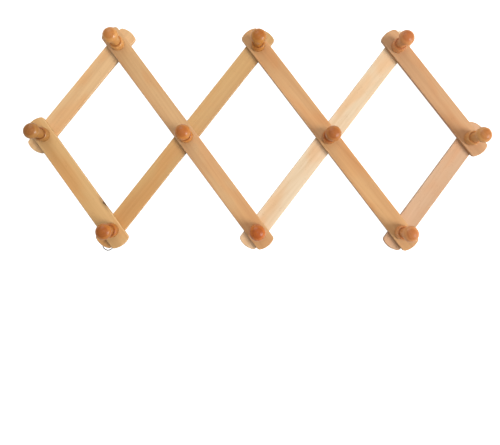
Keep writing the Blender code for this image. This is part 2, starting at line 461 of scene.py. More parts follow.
tintColours = {
    "blush": (1.0, 0.80, 0.62, 1),  # this and the next multiply the wood's own colour
    # end grain darkening; on the pegs it is also painted reflection, a darker cap inside the
    # ball's paler rim
    "endGrainAndCapReflection": (0.68, 0.50, 0.36, 1),
    "endGrainAndCapReflectionShare": 0.75,
    "worn": (0.9, 0.72, 0.5, 1),
    "wornPaleness": 0.3,
    "wornShare": 0.5,
    "knot": (0.10, 0.045, 0.018, 1),
}


def buildTintGroup():
    # turns the figure's masks into the colour of lacquered wood
    tree, given, result = newGroup(
        "woodTint",
        {
            "Pale": (0.7, 0.42, 0.2, 1), "Deep": (0.5, 0.26, 0.1, 1),
            "Fleck Colour": (0.25, 0.1, 0.03, 1), "Rings": 0.0, "Bands": 0.0, "Fibres": 0.0,
            "Flecks": 0.0, "End Grain": 0.0, "Worn Edge": 0.0, "Knot": 0.0, "Blush": 0.0,
            "Blush Strength": 0.5, "Ring Strength": 0.4, "Band Strength": 0.5,
            "Fibre Strength": 0.25, "Fleck Strength": 0.4,
        },
        ["Colour"],
    )
    depth = calc(tree, "MULTIPLY", given["Rings"], given["Ring Strength"])
    depth = calc(tree, "MULTIPLY_ADD", given["Bands"], given["Band Strength"], depth)
    depth = calc(tree, "MULTIPLY_ADD", given["Fibres"], given["Fibre Strength"], depth)
    colour = mixColour(tree, depth, given["Pale"], given["Deep"])
    warmer = mixColour(tree, 1.0, colour, tintColours["blush"], "MULTIPLY")
    blush = calc(tree, "MULTIPLY", given["Blush"], given["Blush Strength"])
    colour = mixColour(tree, blush, colour, warmer)
    flecks = calc(tree, "MULTIPLY", given["Flecks"], given["Fleck Strength"])
    colour = mixColour(tree, flecks, colour, given["Fleck Colour"])
    # darker end grain, and on a peg's ball the painted reflection of a darker cap inside a paler
    # rim
    darker = mixColour(tree, 1.0, colour, tintColours["endGrainAndCapReflection"], "MULTIPLY")
    ends = calc(tree, "MULTIPLY", given["End Grain"], tintColours["endGrainAndCapReflectionShare"])
    colour = mixColour(tree, ends, colour, darker)
    paler = mixColour(tree, tintColours["wornPaleness"], colour, tintColours["worn"])
    worn = calc(tree, "MULTIPLY", given["Worn Edge"], tintColours["wornShare"])
    colour = mixColour(tree, worn, colour, paler)
    colour = mixColour(tree, given["Knot"], colour, tintColours["knot"])
    tree.links.new(colour, result["Colour"])
    return tree


edgeWear = {"scatterScale": 260, "scatterEdges": (0.3, 0.7), "reachShare": (0.4, 1.5)}


def buildBoardEdgeGroup():
    # nearness to the eased edges of a flat board with rounded ends, centred along X
    tree, given, result = newGroup(
        "boardEdge",
        {
            "Vector": (0, 0, 0), "Half Length": 0.14, "Half Width": 0.0117,
            "Half Thickness": 0.0027, "End Reach": 0.0218, "Band": 0.0012,
        },
        ["Edge"],
    )
    along, across, deep = axes(tree, given["Vector"])
    beyond = calc(tree, "SUBTRACT", calc(tree, "ABSOLUTE", along), given["Half Length"])
    beyond = calc(tree, "MAXIMUM", beyond, 0.0)
    fromPivot = vectorCalc(tree, "LENGTH", fromAxes(tree, beyond, across, 0.0))
    toSide = calc(tree, "SUBTRACT", given["Half Width"], calc(tree, "ABSOLUTE", across))
    toEnd = calc(tree, "SUBTRACT", given["End Reach"], fromPivot)
    toRim = calc(tree, "MINIMUM", toSide, toEnd)
    toFace = calc(tree, "SUBTRACT", given["Half Thickness"], calc(tree, "ABSOLUTE", deep))
    scattered = noise(tree, given["Vector"], edgeWear["scatterScale"], 3)
    scattered = ease(tree, scattered, *edgeWear["scatterEdges"], *edgeWear["reachShare"])
    reach = calc(tree, "MULTIPLY", given["Band"], scattered)
    nearRim = ease(tree, toRim, reach, 0.0)
    nearFace = ease(tree, toFace, reach, 0.0)
    tree.links.new(calc(tree, "MULTIPLY", nearRim, nearFace), result["Edge"])
    return tree


knotFigure = {
    "squeeze": (0.3, 1.0, 0.6),
    "raggedScale": 900,
    "raggedGain": 0.9,
    "core": (1.0, 0.35),  # from its rim to where it is fully dark, in radii
    "halo": (2.6, 0.9),
    "haloShare": 0.35,
}


def buildKnotGroup():
    # one small dark knot, longer along the grain, with a soft ring around it
    figure = knotFigure
    tree, given, result = newGroup(
        "pinKnot", {"Vector": (0, 0, 0), "Centre": (0, 0, 0), "Radius": 0.0015}, ["Knot"]
    )
    offset = vectorCalc(tree, "SUBTRACT", given["Vector"], given["Centre"])
    ragged = calc(tree, "SUBTRACT", noise(tree, given["Vector"], figure["raggedScale"], 3), 0.5)
    squeezed = vectorCalc(tree, "MULTIPLY", offset, figure["squeeze"])
    distance = calc(tree, "DIVIDE", vectorCalc(tree, "LENGTH", squeezed), given["Radius"])
    distance = calc(tree, "MULTIPLY_ADD", ragged, figure["raggedGain"], distance)
    core = ease(tree, distance, *figure["core"])
    halo = calc(tree, "MULTIPLY", ease(tree, distance, *figure["halo"]), figure["haloShare"])
    tree.links.new(calc(tree, "MAXIMUM", core, halo), result["Knot"])
    return tree


lacquerFigure = {
    "seedShift": (2.3, 6.1, 4.7),
    "patchScale": 28,
    "patchEdges": (0.3, 0.7),
    "fineScale": 520,
    "nibScale": 420,
    "nibEdges": (0.16, 0.03),
    "thinOnEndGrain": 0.45,
    "thinOnWornEdge": 0.3,
    "thinInPatches": 0.12,
    "roughInPatches": 0.10,
    "roughOnEndGrain": 0.2,
    "roughFine": 0.05,
    "patchHeight": 0.5,
    "fineHeight": 0.12,
    "nibHeight": 0.5,
}


def buildLacquerGroup():
    # brushed-on clear lacquer: thin on ends and edges, uneven in patches, with dust nibs
    figure = lacquerFigure
    tree, given, result = newGroup(
        "clearLacquer",
        {
            "Vector": (0, 0, 0), "Seed": 0.0, "Gloss": 0.3, "Build": 0.7, "End Grain": 0.0,
            "Worn Edge": 0.0,
        },
        ["Coat", "Roughness", "Height"],
    )
    shift = scaledBy(tree, figure["seedShift"], given["Seed"])
    place = vectorCalc(tree, "ADD", given["Vector"], shift)
    patches = ease(tree, noise(tree, place, figure["patchScale"], 3), *figure["patchEdges"])
    fine = noise(tree, place, figure["fineScale"])
    nibs = ease(tree, cells(tree, place, figure["nibScale"])["Distance"], *figure["nibEdges"])
    thinned = calc(tree, "MULTIPLY", given["End Grain"], figure["thinOnEndGrain"])
    coat = calc(tree, "SUBTRACT", 1.0, thinned)
    thinned = calc(tree, "MULTIPLY", given["Worn Edge"], figure["thinOnWornEdge"])
    coat = calc(tree, "SUBTRACT", coat, thinned)
    thinned = calc(tree, "MULTIPLY", patches, figure["thinInPatches"])
    coat = calc(tree, "SUBTRACT", coat, thinned, clamp=True)
    tree.links.new(calc(tree, "MULTIPLY", coat, given["Build"]), result["Coat"])
    rough = calc(tree, "MULTIPLY_ADD", patches, figure["roughInPatches"], given["Gloss"])
    rough = calc(tree, "MULTIPLY_ADD", given["End Grain"], figure["roughOnEndGrain"], rough)
    rough = calc(tree, "MULTIPLY_ADD", fine, figure["roughFine"], rough)
    tree.links.new(rough, result["Roughness"])
    height = calc(tree, "MULTIPLY", fine, figure["fineHeight"])
    height = calc(tree, "MULTIPLY_ADD", patches, figure["patchHeight"], height)
    height = calc(tree, "MULTIPLY_ADD", nibs, figure["nibHeight"], height)
    tree.links.new(height, result["Height"])
    return tree


steelFigure = {
    "cloudScale": 340,
    "cloudRoughness": 0.6,
    "cloudEdges": (0.35, 0.7),
    "gritScale": 3200,
    "hairScale": (900, 9000, 2500),
    "speckScale": 900,
    "speckEdges": (0.2, 0.05),
    "roughWhereDull": 0.35,
    "roughInScratches": 0.12,
    "scratchHeight": 0.6,
    "gritHeight": 0.4,
    "speckDepth": 0.5,
}


def buildSteelGroup():
    # plated or drawn steel: cloudy plating, hairline scratches, dull specks
    figure = steelFigure
    tree, given, result = newGroup(
        "platedSteel",
        {
            "Vector": (0, 0, 0), "Bright": (0.6, 0.6, 0.58, 1), "Dull": (0.3, 0.29, 0.27, 1),
            "Tarnish": 0.3, "Gloss": 0.3,
        },
        ["Colour", "Roughness", "Height"],
    )
    place = given["Vector"]
    cloud = noise(tree, place, figure["cloudScale"], 4, figure["cloudRoughness"])
    cloud = ease(tree, cloud, *figure["cloudEdges"])
    grit = noise(tree, place, figure["gritScale"])
    scratches = noise(tree, vectorCalc(tree, "MULTIPLY", place, figure["hairScale"]), 1, 3)
    specks = cells(tree, place, figure["speckScale"])["Distance"]
    specks = ease(tree, specks, *figure["speckEdges"])
    dulled = calc(tree, "MULTIPLY", calc(tree, "MAXIMUM", cloud, specks), given["Tarnish"])
    tree.links.new(mixColour(tree, dulled, given["Bright"], given["Dull"]), result["Colour"])
    rough = calc(tree, "MULTIPLY_ADD", dulled, figure["roughWhereDull"], given["Gloss"])
    rough = calc(tree, "MULTIPLY_ADD", scratches, figure["roughInScratches"], rough)
    tree.links.new(rough, result["Roughness"])
    height = calc(tree, "MULTIPLY", grit, figure["gritHeight"])
    height = calc(tree, "MULTIPLY_ADD", scratches, figure["scratchHeight"], height)
    pits = calc(tree, "MULTIPLY", specks, figure["speckDepth"])
    tree.links.new(calc(tree, "SUBTRACT", height, pits), result["Height"])
    return tree


grainGroup = buildGrainGroup()
tintGroup = buildTintGroup()
boardEdgeGroup = buildBoardEdgeGroup()
knotGroup = buildKnotGroup()
lacquerGroup = buildLacquerGroup()
steelGroup = buildSteelGroup()
print("shared effects built")


# materials

def startMaterial(name):
    material = bpy.data.materials.new(name)
    material.use_nodes = True
    tree = material.node_tree
    return material, tree, tree.nodes["Principled BSDF"].inputs


def mapped(tree, source, place=(0, 0, 0), turnBy=(0, 0, 0)):
    coordinates = tree.nodes.new("ShaderNodeTexCoord").outputs[source]
    settings = {"vector_type": "TEXTURE"}
    return addNode(tree, "Mapping", settings, [coordinates, place, turnBy]).outputs[0]


def bumpInto(tree, shader, layers):
    # layers are (height, strength, depth in metres), the coarsest first
    normal = None
    for height, strength, depth in layers:
        values = {"Strength": strength, "Distance": depth, "Height": height}
        bump = addNode(tree, "Bump", {}, values)
        if normal:
            tree.links.new(normal, bump.inputs["Normal"])
        normal = bump.outputs[0]
    tree.links.new(normal, shader["Normal"])


woodSurface = {
    "coatIor": 1.5,
    "ior": 1.45,
    "specular": 0.35,
    "lacquerBump": (0.18, 0.00012),  # strength and depth in metres
    "grainBump": (0.25, 0.00004),
}


def lacqueredWood(name, finish, place, turnBy, board=None):
    # place and turnBy bring the piece's own middle and grain onto the origin and X
    material, tree, shader = startMaterial(name)
    local = mapped(tree, "Object", place, turnBy)
    normal = mapped(tree, "Normal", turnBy=turnBy)
    pithAcross, pithDepth = finish["pith"]
    grain = useGroup(tree, grainGroup, {
        "Vector": local, "Normal": normal, "Seed": finish["seed"],
        "Pith Across": pithAcross, "Pith Depth": pithDepth, "Pith Tilt": finish["tilt"],
        "Ring Pitch": finish["ringPitch"], "Wander": finish["wander"],
        "Blush Drift": finish.get("blushDrift", 0.0),
    })
    worn = 0.0
    if board:
        edges = useGroup(tree, boardEdgeGroup, {
            "Vector": local, "Half Length": board["halfLength"],
            "Half Width": board["width"] / 2, "Half Thickness": board["thickness"] / 2,
            "End Reach": board["endReach"],
        })
        worn = edges["Edge"]
    knot = 0.0
    if finish.get("knot"):
        centre, radius = finish["knot"]
        values = {"Vector": local, "Centre": centre, "Radius": radius}
        knot = useGroup(tree, knotGroup, values)["Knot"]
    masks = {label: grain[label] for label in ("Rings", "Bands", "Fibres", "Flecks", "Blush")}
    tint = useGroup(tree, tintGroup, {
        **masks, "End Grain": grain["End Grain"], "Worn Edge": worn, "Knot": knot,
        "Pale": (*finish["pale"], 1), "Deep": (*finish["deep"], 1),
        "Fleck Colour": (*finish["fleck"], 1), "Ring Strength": finish["rings"],
        "Band Strength": finish["bands"], "Fibre Strength": finish["fibres"],
        "Fleck Strength": finish["flecks"], "Blush Strength": finish["blush"],
    })
    lacquer = useGroup(tree, lacquerGroup, {
        "Vector": local, "Seed": finish["seed"], "Gloss": finish["gloss"],
        "Build": finish["coat"], "End Grain": grain["End Grain"], "Worn Edge": worn,
    })
    tree.links.new(tint["Colour"], shader["Base Color"])
    tree.links.new(lacquer["Roughness"], shader["Roughness"])
    tree.links.new(lacquer["Coat"], shader["Coat Weight"])
    shader["Coat Roughness"].default_value = finish["coatRoughness"]
    shader["Coat IOR"].default_value = woodSurface["coatIor"]
    shader["IOR"].default_value = woodSurface["ior"]
    shader["Specular IOR Level"].default_value = woodSurface["specular"]
    bumpInto(tree, shader, [
        (lacquer["Height"], *woodSurface["lacquerBump"]),
        (grain["Height"], *woodSurface["grainBump"]),
    ])
    return material


steelBump = (0.3, 0.00002)


def platedSteel(name, finish):
    material, tree, shader = startMaterial(name)
    steel = useGroup(tree, steelGroup, {
        "Vector": mapped(tree, "Object"), "Bright": (*finish["bright"], 1),
        "Dull": (*finish["dull"], 1), "Tarnish": finish["tarnish"], "Gloss": finish["gloss"],
    })
    tree.links.new(steel["Colour"], shader["Base Color"])
    tree.links.new(steel["Roughness"], shader["Roughness"])
    shader["Metallic"].default_value = 1.0
    bumpInto(tree, shader, [(steel["Height"], *steelBump)])
    return material


# slats

slatShape = {
    "width": 0.0234,
    "endReach": 0.0218,
    "cornerRadius": 0.0042,
    "easedEdge": 0.0009,
    "flatBorder": 0.0003,
    "holeRadius": 0.00355,
    "cornerSteps": 8,
    "endSteps": 18,
    "edgeSegments": 4,
    "edgeAngle": 60,
    "holeSteps": 48,
    "smoothAngle": 30,
}
slatLow, slatHigh, _ = boxOf("front_slat_1")
slatThickness = slatHigh.z - slatLow.z

# pith is how far across and how deep the tree's heart lies, and tilt how it leans; rings,
# bands, fibres, flecks and blush are strengths; a knot has a place along, across and deep
slatWood = {
    "pale": (0.62, 0.37, 0.155), "deep": (0.46, 0.235, 0.08), "fleck": (0.30, 0.13, 0.045),
    "pith": (0.045, -0.03), "tilt": 0.06, "ringPitch": 0.0042, "wander": 0.0022,
    "rings": 0.24, "bands": 0.5, "fibres": 0.16, "flecks": 0.3, "blush": 0.55,
    "gloss": 0.46, "coatRoughness": 0.24, "coat": 0.45,
}
slatFinishes = {
    "front_slat_1": {"pale": (0.659, 0.403, 0.169), "deep": (0.511, 0.278, 0.095), "seed": 1.3,
                     "pith": (0.06, -0.02), "knot": ((0.0395, 0.0114, 0.0026), 0.0017)},
    "front_slat_2": {"pale": (0.615, 0.375, 0.169), "deep": (0.496, 0.259, 0.109), "seed": 2.7,
                     "pith": (-0.05, -0.035), "blushDrift": 0.8},
    "front_slat_3": {"pale": (0.637, 0.365, 0.155), "deep": (0.481, 0.238, 0.091), "seed": 4.1,
                     "pith": (0.035, -0.028)},
    "front_slat_4": {"pale": (0.586, 0.335, 0.164), "deep": (0.471, 0.239, 0.107), "seed": 5.9,
                     "pith": (0.08, 0.03)},
    "back_slat_1": {"pale": (0.712, 0.458, 0.225), "deep": (0.576, 0.338, 0.154), "seed": 7.2,
                    "pith": (-0.07, 0.03)},
    "back_slat_2": {"pale": (0.582, 0.349, 0.135), "deep": (0.445, 0.223, 0.071), "seed": 8.8,
                    "pith": (0.05, 0.02), "blushDrift": -1.6},
    "back_slat_3": {"pale": (0.759, 0.602, 0.414), "deep": (0.626, 0.444, 0.264), "seed": 9.6,
                    "pith": (-0.03, -0.04), "bands": 0.7, "wander": 0.005, "blush": 0.7},
    "back_slat_4": {"pale": (0.606, 0.382, 0.23), "deep": (0.491, 0.282, 0.15), "seed": 11.4,
                    "pith": (0.06, -0.05)},
}


def modelSlat(name, spans):
    # half of the slat along +X is drawn as a wall, spun round its end, filled, then mirrored
    shape = slatShape
    faceLevels = (slatThickness / 2, -slatThickness / 2)
    halfLength = spans * pivotSpacing / 2
    side = shape["width"] / 2
    cornerY = side - shape["cornerRadius"]
    cornerX = math.sqrt((shape["endReach"] - shape["cornerRadius"]) ** 2 - cornerY**2)
    straight = halfLength + cornerX
    blend = math.atan2(cornerY, cornerX)
    piece = startPoint(name, (0, -side, -slatThickness / 2))
    nudge((0, 0, slatThickness))
    bpy.ops.mesh.select_all(action="SELECT")
    nudge((straight, 0, 0))
    for centreX, centreY, angle, steps in (
        (straight, -cornerY, math.pi / 2 - blend, shape["cornerSteps"]),
        (halfLength, 0.0, 2 * blend, shape["endSteps"]),
        (straight, cornerY, math.pi / 2 - blend, shape["cornerSteps"]),
    ):
        centre = (centreX, centreY, 0)
        bpy.ops.mesh.spin(steps=steps, angle=-angle, center=centre, axis=(0, 0, 1))
    nudge((-straight, 0, 0))
    closeUp(piece)
    for level in faceLevels:
        editWhere(piece, "VERT", lambda co: abs(co.z - level) < sameLevel)
        bpy.ops.mesh.edge_face_add()
    objectMode()
    applyModifier(
        piece, "MIRROR", use_axis=(True, False, False), merge_threshold=mergeDistance
    )
    closeUp(piece)
    # the seam that the mirror leaves across the two flat faces
    editWhere(
        piece, "EDGE",
        lambda co: abs(abs(co.z) - slatThickness / 2) < sameLevel and abs(co.x) < sameLevel,
    )
    bpy.ops.mesh.dissolve_edges()
    objectMode()
    applyModifier(
        piece, "BEVEL", width=shape["easedEdge"], segments=shape["edgeSegments"],
        limit_method="ANGLE", angle_limit=math.radians(shape["edgeAngle"]),
    )
    # a narrow border keeps the eased edge from tilting the flat faces' shading
    for level in faceLevels:
        editWhere(piece, "FACE", lambda co: abs(co.z - level) < sameLevel)
        bpy.ops.mesh.inset(thickness=shape["flatBorder"], use_even_offset=True)
    objectMode()
    for index in range(spans + 1):
        deselectAll()
        bpy.ops.mesh.primitive_cylinder_add(
            vertices=shape["holeSteps"], radius=shape["holeRadius"], depth=3 * slatThickness,
            location=(index * pivotSpacing - halfLength, 0, 0),
        )
        drill = bpy.context.object
        applyPlace(drill)
        applyModifier(piece, "BOOLEAN", object=drill, operation="DIFFERENCE", solver="EXACT")
        discard(drill)
    smoothBy(piece, shape["smoothAngle"])
    return piece


def makeSlats():
    blanks = {1: modelSlat("shortSlat", 1), 2: modelSlat("longSlat", 2)}
    for node, (start, end) in slatRuns.items():
        first, last = pivotPlaces[start].xy, pivotPlaces[end].xy
        spans = round((last - first).length / pivotSpacing)
        heading = slatHeading(node)
        middle = ((first + last) / 2).to_3d()
        middle.z = boxOf(node)[2].z
        piece = copyTo(blanks[spans], node + "_wood", middle, heading)
        finish = {**slatWood, **slatFinishes[node]}
        board = {
            "halfLength": spans * pivotSpacing / 2, "thickness": slatThickness, **slatShape,
        }
        material = lacqueredWood(node, finish, middle, (0, 0, heading), board)
        fitOut(piece, node, material)
    for blank in blanks.values():
        discard(blank)


makeSlats()
print("slats made")


# pegs

pegShape = {
    "shaftRadius": 0.0057,
    "collarRadius": 0.0085,
    "collarSide": 0.0088,
    "collarHeight": 0.0118,
    "collarRings": 3,
    "collarRingSpread": 4.6,  # the collar's side over the gap between its rings
    "lipStart": 0.10,  # how far the shoulder lies flat before it curves, of its run
    "lipAngle": 92,
    "lipSteps": 12,
    "ballFlatness": 0.0071 / 0.0092,
    "ballSteps": 40,
    "grooveDepth": 0.00035,
    "neckGroove": ((0.7, 0.5), (0.15, 1.2), (0, 2.4)),  # in groove depths, inwards and down
    "shoulderGroove": ((0, 1.2), (0.5, 0.3), (-0.1, 0)),  # the same, inwards and up
    "shoulderDrop": 0.0003,
    "waistPinch": 0.00012,
    "waistSteps": 8,
    "footRounding": 0.0008,
    "footSteps": 5,
    "spigotRadius": 0.00325,
    "spigotFillet": (0.0004, 0.0003),
    "spigotChamfer": (0.0004, 0.0005),
    "pilotRadius": 0.0016,
    "pilotDepth": 0.0125,
    "pilotPoint": 0.0016,
    "pilotChamfer": (0.0002, 0.0004),
    "seatGap": 0.00025,
    "steps": 64,
    "smoothAngle": 40,
    "turnEach": 137.5,  # degrees, so that no two pegs show the same side
}
pegWood = {
    "pale": (0.50, 0.195, 0.044), "deep": (0.36, 0.115, 0.020), "fleck": (0.16, 0.05, 0.010),
    "pith": (0.012, 0.006), "tilt": 0.05, "ringPitch": 0.0023, "wander": 0.0012,
    "rings": 0.26, "bands": 0.35, "fibres": 0.22, "flecks": 0.45, "blush": 0.4,
    "gloss": 0.40, "coatRoughness": 0.18, "coat": 0.5, "firstSeed": 20, "seedStep": 1.7,
}
pegTonesAndHighlightHaze = {
    # each multiplies the peg wood's red, green and blue; partly each peg's own tone, partly
    # painted highlight haze, as the pale blue-heavy tones of top_1, top_3, middle_4 and bottom_3
    # paint the whitish sheen of highlights into those balls
    "top_1": (1.35, 1.66, 2.1), "top_2": (1.12, 1.2, 0.88), "top_3": (1.27, 1.34, 1.9),
    "middle_1": (0.9, 1.06, 1.1), "middle_2": (1.17, 1.17, 0.97),
    "middle_3": (1.05, 1, 0.9), "middle_4": (1.3, 1.62, 2.2),
    "bottom_1": (0.98, 0.87, 0.52), "bottom_2": (1.12, 0.84, 0.38),
    "bottom_3": (1.34, 1.5, 2.2),
}


def pegProfile():
    # from the top of the ball down to the foot, then the spigot and up its pilot hole
    shape = pegShape
    low, high, _ = boxOf("peg_top_1")
    shaft, collar, groove = shape["shaftRadius"], shape["collarRadius"], shape["grooveDepth"]
    ballRadius = (high.x - low.x) / 2
    ballCentre = high.z - ballRadius * shape["ballFlatness"]
    meeting = math.degrees(math.acos((shaft - groove) / ballRadius))
    points = arcPoints(
        (0, ballCentre), ballRadius, 90, -meeting, shape["ballSteps"], shape["ballFlatness"]
    )
    # the turned groove under the ball, the waist, and the groove above the collar
    neck = points[-1][1]
    for inwards, down in shape["neckGroove"]:
        points.append((shaft - groove * inwards, neck - groove * down))
    waistTop = points[-1][1]
    seat = slatHigh.z + shape["seatGap"]
    shoulder = seat + shape["collarHeight"] - shape["shoulderDrop"]
    waist = waistTop - shoulder
    for step in range(1, shape["waistSteps"]):
        along = step / shape["waistSteps"]
        pinch = shape["waistPinch"] * math.sin(math.pi * along)
        points.append((shaft - pinch, waistTop - waist * along))
    for inwards, up in shape["shoulderGroove"]:
        points.append((shaft - groove * inwards, shoulder + groove * up))
    # the rounded shoulder, the collar's side and its foot on the slat
    run = collar - shaft
    flat = shape["lipStart"] * run
    rise = shape["collarHeight"] - shape["collarSide"]
    for x, y in arcPoints((0, 0), 1, shape["lipAngle"], 0, shape["lipSteps"]):
        points.append((shaft + flat + (run - flat) * x, seat + shape["collarSide"] + rise * y))
    for step in range(1, shape["collarRings"] + 1):
        share = 1 - step / shape["collarRingSpread"]
        points.append((collar, seat + shape["collarSide"] * share))
    foot = shape["footRounding"]
    points += arcPoints((collar - foot, seat + foot), foot, 0, -90, shape["footSteps"])
    # the spigot through both slats, and the pilot hole in its end
    bottom = low.z
    spigot, pilot = shape["spigotRadius"], shape["pilotRadius"]
    filletOut, filletDown = shape["spigotFillet"]
    chamferIn, chamferUp = shape["spigotChamfer"]
    mouthOut, mouthUp = shape["pilotChamfer"]
    pilotTop = bottom + shape["pilotDepth"]
    points += [
        (spigot + filletOut, seat), (spigot, seat - filletDown),
        (spigot, bottom + chamferUp), (spigot - chamferIn, bottom),
        (pilot + mouthOut, bottom), (pilot, bottom + mouthUp),
        (pilot, pilotTop), (0, pilotTop + shape["pilotPoint"]),
    ]
    return points


def makePegs():
    blank = turn("turnedPeg", pegProfile(), pegShape["steps"])
    smoothBy(blank, pegShape["smoothAngle"])
    for index, name in enumerate(pivotNames):
        node = "peg_" + name
        centre = pivotPlaces[name].copy()
        centre.z = 0
        turnBy = math.radians(pegShape["turnEach"] * index)
        piece = copyTo(blank, node + "_wood", centre, turnBy)
        finish = {**pegWood, "seed": pegWood["firstSeed"] + pegWood["seedStep"] * index}
        # the tones give each peg its own tone and, on some pegs, painted highlight haze
        for key in ("pale", "deep"):
            toned = (min(1, wood * tone) for wood, tone in zip(pegWood[key], pegTonesAndHighlightHaze[name]))
            finish[key] = tuple(toned)
        # the grain runs up the peg, so the pattern's X is stood on end and the ball's top takes
        # the end grain darkening, which there also paints the balls' reflection: a darker cap
        # inside a paler rim
        centre.z = slatHigh.z
        material = lacqueredWood(node, finish, centre, (0, -math.pi / 2, turnBy))
        fitOut(piece, node, material)
    discard(blank)


makePegs()
print("pegs made")


# screws, washers and hanging loops

screwShape = {
    "shankRadius": 0.00115,
    "headRadius": 0.0045,
    "flatRadius": 0.0029,
    "innerRing": 0.0015,
    "edgeShare": 0.55,  # of the head's height, where the dome meets its rim
    "domeSteps": 8,
    "softening": 0.0001,
    "tip": (0.0003, 0.0006),
    "pointLength": 0.0028,
    "threadDepth": 0.00032,
    "threadPitch": 0.0013,
    "threadStart": 0.0012,
    "threadShortfall": 0.0035,
    "threadSteps": 14,  # for each turn
    "threadRunOut": (6, 0.25),  # how fast it grows from an end, and its share there
    "threadSwellLow": (6, 0.15),
    "threadSwellHigh": (5, 0.3),
    "recessLength": 0.0042,
    "recessWidth": 0.0010,
    "recessDepth": 0.0011,
    "recessTaper": 0.35,
    "steps": 48,
    "smoothAngle": 35,
    "turnEach": 0.7,
}
screwSteel = {
    "bright": (0.66, 0.64, 0.58), "dull": (0.36, 0.33, 0.28), "tarnish": 0.35, "gloss": 0.26,
}


def sinkRecess(piece):
    # a cross, two tapered bars sunk into the head
    shape = screwShape
    for turnBy in (0, math.pi / 2):
        deselectAll()
        bpy.ops.mesh.primitive_cube_add(size=1, location=(0, 0, 0), rotation=(0, 0, turnBy))
        bar = bpy.context.object
        bar.scale = (shape["recessLength"], shape["recessWidth"], 2 * shape["recessDepth"])
        applyPlace(bar)
        editWhere(bar, "VERT", lambda co: co.z > 0)
        taper = shape["recessTaper"]
        bpy.ops.transform.resize(value=(taper, taper, 1), center_override=(0, 0, 0))
        objectMode()
        applyModifier(piece, "BOOLEAN", object=bar, operation="DIFFERENCE", solver="EXACT")
        discard(bar)


def windThread(piece, low, high):
    # a helix round the shank that starts and ends thin
    shape = screwShape
    start = low + shape["threadStart"]
    run = high - low - shape["threadShortfall"]
    turns = run / shape["threadPitch"]
    count = int(turns * shape["threadSteps"])
    growth, least = shape["threadRunOut"]
    path = []
    for step in range(count + 1):
        share = step / count
        angle = 2 * math.pi * turns * share
        reach = shape["shankRadius"] * min(1, (1 - share) * growth + least)
        path.append((reach * math.cos(angle), reach * math.sin(angle), start + run * share))

    def swell(height):
        share = (height - start) / run
        lowGrowth, lowLeast = shape["threadSwellLow"]
        highGrowth, highLeast = shape["threadSwellHigh"]
        return min(1, lowLeast + lowGrowth * share, highLeast + highGrowth * (1 - share))

    thread = drawWire("thread", path, shape["threadDepth"], 0, swell)
    applyModifier(piece, "BOOLEAN", object=thread, operation="UNION", solver="EXACT")
    discard(thread)


def modelScrew():
    # from the point down the shank, round the head, to the middle of its flat end
    shape = screwShape
    tipTop = boxOf("screw_top_1")[1].z
    headTop = boxOf("washer_top_1")[0].z - pegShape["seatGap"]
    shank, head, soft = shape["shankRadius"], shape["headRadius"], shape["softening"]
    tipRadius, tipLength = shape["tip"]
    profile = [
        (0, tipTop), (tipRadius, tipTop - tipLength), (shank, tipTop - shape["pointLength"]),
        (shank, headTop + soft), (shank + soft, headTop),
        (head - soft, headTop), (head, headTop - soft),
    ]
    edge = headTop * shape["edgeShare"]
    for x, y in arcPoints((0, 0), 1, 0, 90, shape["domeSteps"]):
        profile.append((shape["flatRadius"] + (head - shape["flatRadius"]) * x, edge * (1 - y)))
    profile += [(shape["innerRing"], 0), (0, 0)]
    piece = turn("panScrew", profile, shape["steps"])
    sinkRecess(piece)
    windThread(piece, headTop, tipTop)
    smoothBy(piece, shape["smoothAngle"])
    return piece


washerShape = {
    "outer": 0.006,
    "inner": 0.0019,
    "rounding": 0.0002,
    "roundingSteps": 4,
    "burr": (0.00005, 0.00008),
    "steps": 64,
    "smoothAngle": 40,
    "turnEach": 1.1,
}
washerSteel = {
    "bright": (0.70, 0.70, 0.68), "dull": (0.42, 0.41, 0.38), "tarnish": 0.3, "gloss": 0.24,
}


def modelWasher():
    # a stamped ring, rounded on the face that met the punch and sharp on the other
    shape = washerShape
    low, high, _ = boxOf("washer_top_1")
    outer, inner, rounding = shape["outer"], shape["inner"], shape["rounding"]
    burrOut, burrUp = shape["burr"]
    profile = [
        (inner + rounding, high.z), (outer, high.z), (outer, low.z + rounding * 1.5),
        *arcPoints(
            (outer - rounding, low.z + rounding), rounding, 0, -90, shape["roundingSteps"]
        )[1:],
        (inner + burrOut, low.z), (inner, low.z + burrUp), (inner, high.z - rounding),
    ]
    piece = turn("flatWasher", profile, shape["steps"], closed=True)
    smoothBy(piece, shape["smoothAngle"])
    return piece


loopShape = {
    "wireRadius": 0.00065,
    "eyeRadius": 0.0041,
    "neckHalfWidth": 0.00095,
    "neckBend": 0.0016,
    "endRadius": 0.0063,
    "reach": 0.0252,
    "seam": 3.2,  # degrees of the eye between a cut end and the middle line
    "roundSteps": 30,
    "neckSteps": 12,
    "wireRoundness": 4,
    "smoothAngle": 40,
}
loopSteel = {
    "bright": (0.50, 0.49, 0.46), "dull": (0.20, 0.19, 0.17), "tarnish": 0.6, "gloss": 0.30,
}
loopPlaces = {
    # the pivot that each hangs on, and the way it points
    "hanging_loop_left": ("bottom_1", math.radians(251)),
    "hanging_loop_right": ("bottom_3", slatHeading("back_slat_4")),
}


